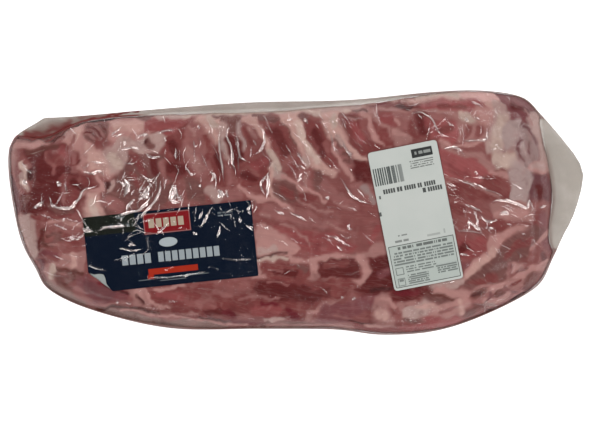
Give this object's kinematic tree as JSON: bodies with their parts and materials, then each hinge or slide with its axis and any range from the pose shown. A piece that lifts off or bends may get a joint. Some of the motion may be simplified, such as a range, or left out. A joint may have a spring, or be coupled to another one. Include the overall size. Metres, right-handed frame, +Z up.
{
  "type": "vacuum-packed rack of ribs",
  "caption": "Raw rack of pork ribs, bone side up, sealed in clear vacuum film with a printed label under the film and a paper price label on top, lying flat.",
  "frame": {"origin": "centre of the pack's bounding box, on the surface that it lies on", "axes": "+X along the rack, towards its thick end and the film's loose end; +Y towards the straight edge where the ribs start; +Z up"},
  "size_m": [0.4602, 0.1956, 0.0382],
  "materials": {
    "raw_meat": "raw lean and fat with bone ends, wet, pressed against clear film",
    "clear_film": "clear shrunk vacuum film, glossy, creased",
    "navy_label": "glossy print, wrinkled",
    "label_paper": "matte coated paper with dark print"
  },
  "bodies": {
    "root": {"sealed_pack": "raw_meat", "product_label": "navy_label", "store_label": "label_paper"}
  },
  "joints": []
}
